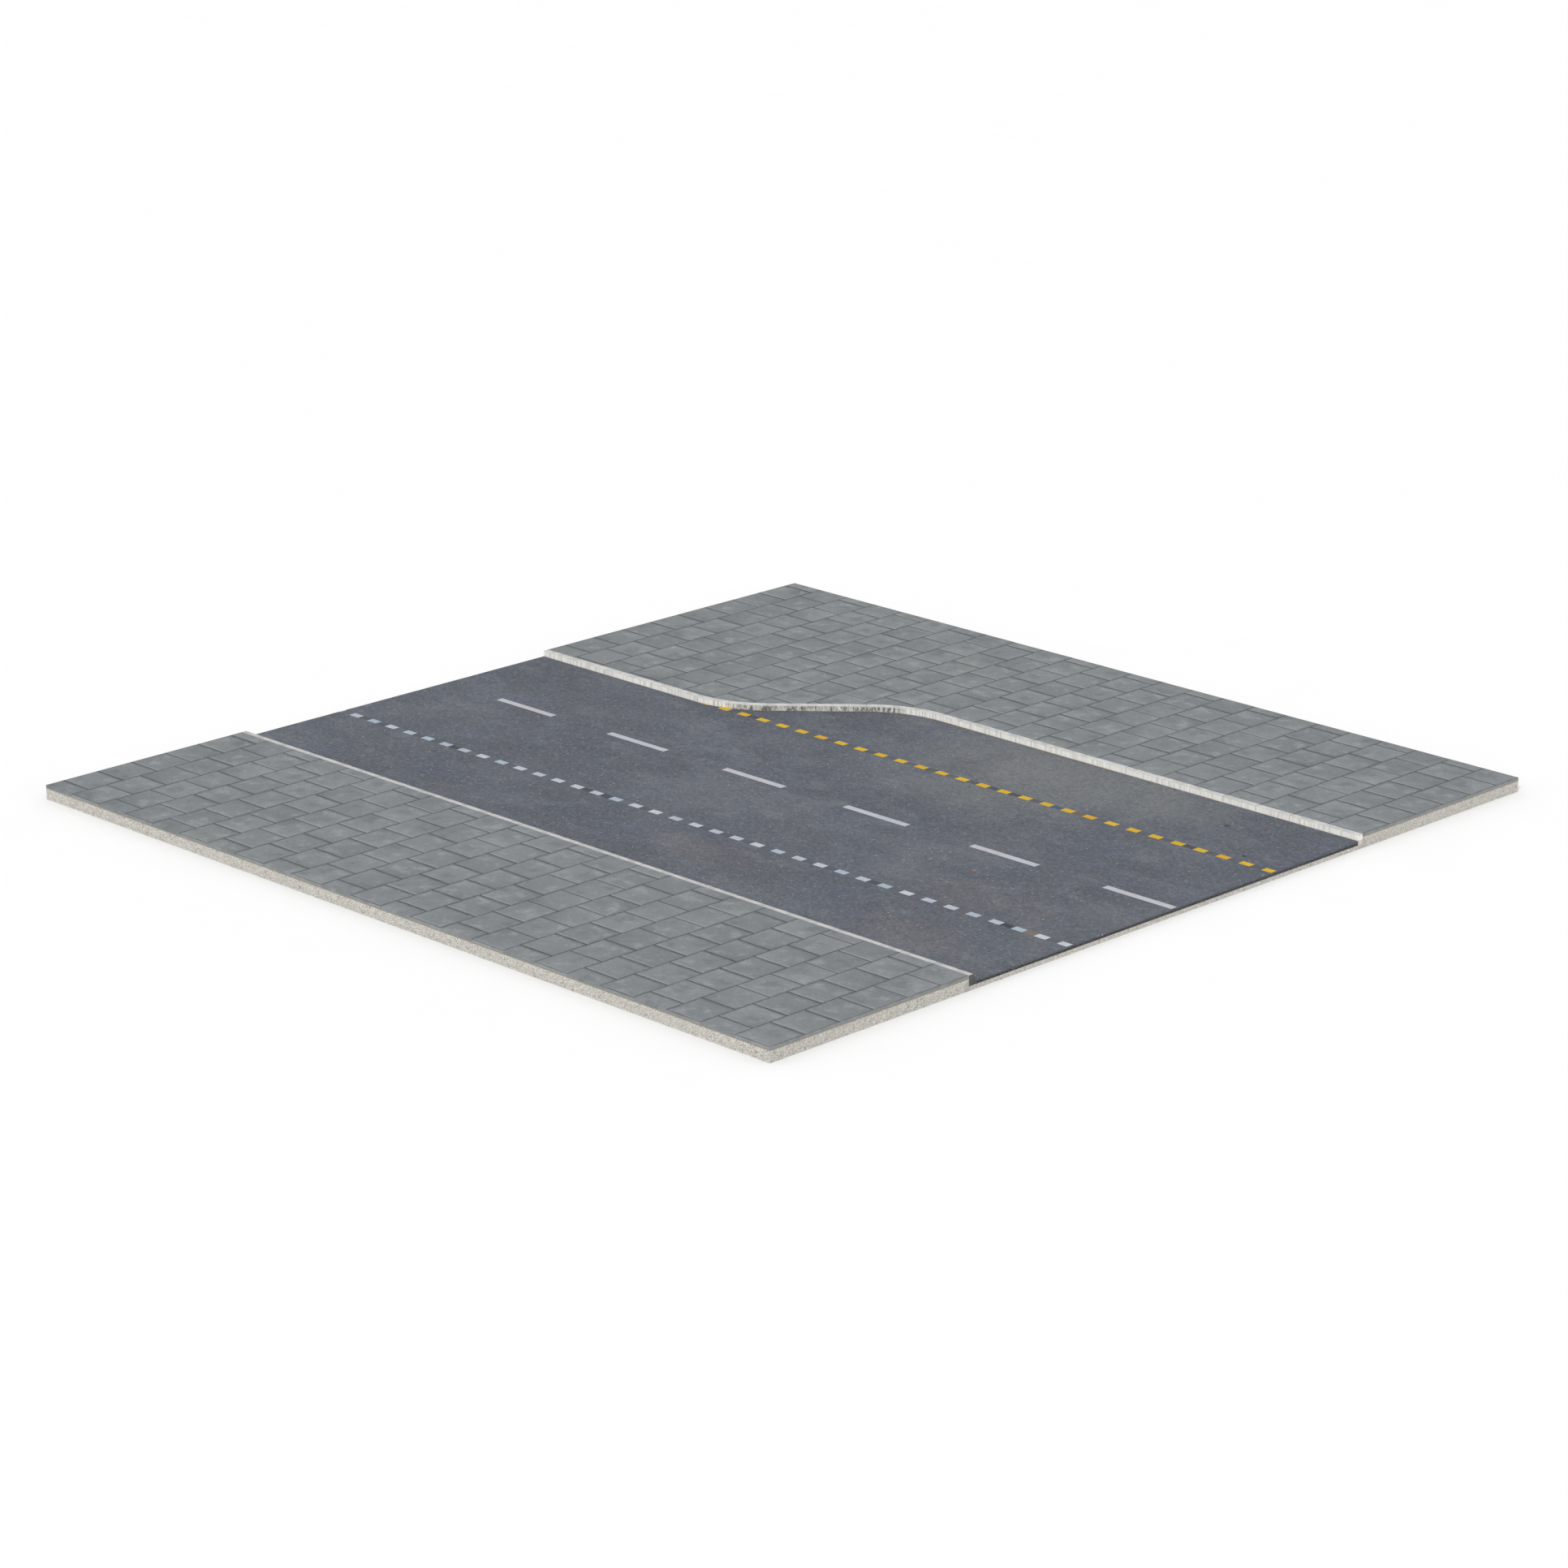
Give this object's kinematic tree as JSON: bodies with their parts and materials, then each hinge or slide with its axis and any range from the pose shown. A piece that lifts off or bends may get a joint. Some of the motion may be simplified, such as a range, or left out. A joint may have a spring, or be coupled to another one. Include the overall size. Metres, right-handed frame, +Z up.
{
  "type": "kerbed road section with lay-by",
  "caption": "Straight kerbed road section with a widened stopping lay-by, flagged footways on both sides and broken line markings, in full construction depth.",
  "frame": {"origin": "middle of the underside, at formation level", "axes": "+X along the road, +Y across it towards the lay-by, +Z up"},
  "size_m": [24, 24.8, 0.35],
  "materials": {
    "crushed_rock": "rough, compacted crushed limestone",
    "binder_asphalt": "rough, coarse dark asphalt concrete",
    "surface_asphalt": "matt, weathered grey asphalt",
    "lay_by_asphalt": "matt, paler and warmer asphalt",
    "bed_concrete": "rough cast concrete",
    "kerb_concrete": "matt, pale precast concrete with vertical streaks",
    "mortar": "matt sand and cement mortar",
    "laying_sand": "matt sharp sand",
    "flag_concrete": "matt pressed concrete with cloudy pale staining",
    "jointing": "matt dark sand and cement jointing",
    "white_line": "matt white road-marking thermoplastic, worn",
    "yellow_line": "matt yellow road-marking thermoplastic, worn",
    "black_patch": "matt dark masking paint between marks"
  },
  "bodies": {
    "root": {"carriageway_sub_base": "crushed_rock", "binder_course": "binder_asphalt", "near_lane_surface": "surface_asphalt", "middle_lane_surface": "surface_asphalt", "far_lane_surface": "surface_asphalt", "lay_by_surface": "lay_by_asphalt", "near_kerb_bed": "bed_concrete", "near_kerb_haunch": "bed_concrete", "far_kerb_bed": "bed_concrete", "far_kerb_haunch": "bed_concrete", "near_kerb_units": "kerb_concrete", "through_kerb_units": "kerb_concrete", "external_radius_kerbs": "kerb_concrete", "taper_kerb_units": "kerb_concrete", "internal_radius_kerbs": "kerb_concrete", "lay_by_kerb_units": "kerb_concrete", "near_kerb_joint_mortar": "mortar", "far_kerb_joint_mortar": "mortar", "near_footway_sub_base": "crushed_rock", "far_footway_sub_base": "crushed_rock", "near_footway_laying_course": "laying_sand", "far_footway_laying_course": "laying_sand", "near_footway_flags": "flag_concrete", "near_footway_cut_flags": "flag_concrete", "near_footway_jointing": "jointing", "far_footway_flags": "flag_concrete", "far_footway_cut_flags": "flag_concrete", "far_footway_bend_flags": "flag_concrete", "far_footway_jointing": "jointing", "lane_line_long_marks": "white_line", "short_line_marks": "white_line", "short_line_patches": "black_patch", "lay_by_line_marks": "yellow_line", "lay_by_line_patches": "black_patch"}
  },
  "joints": []
}
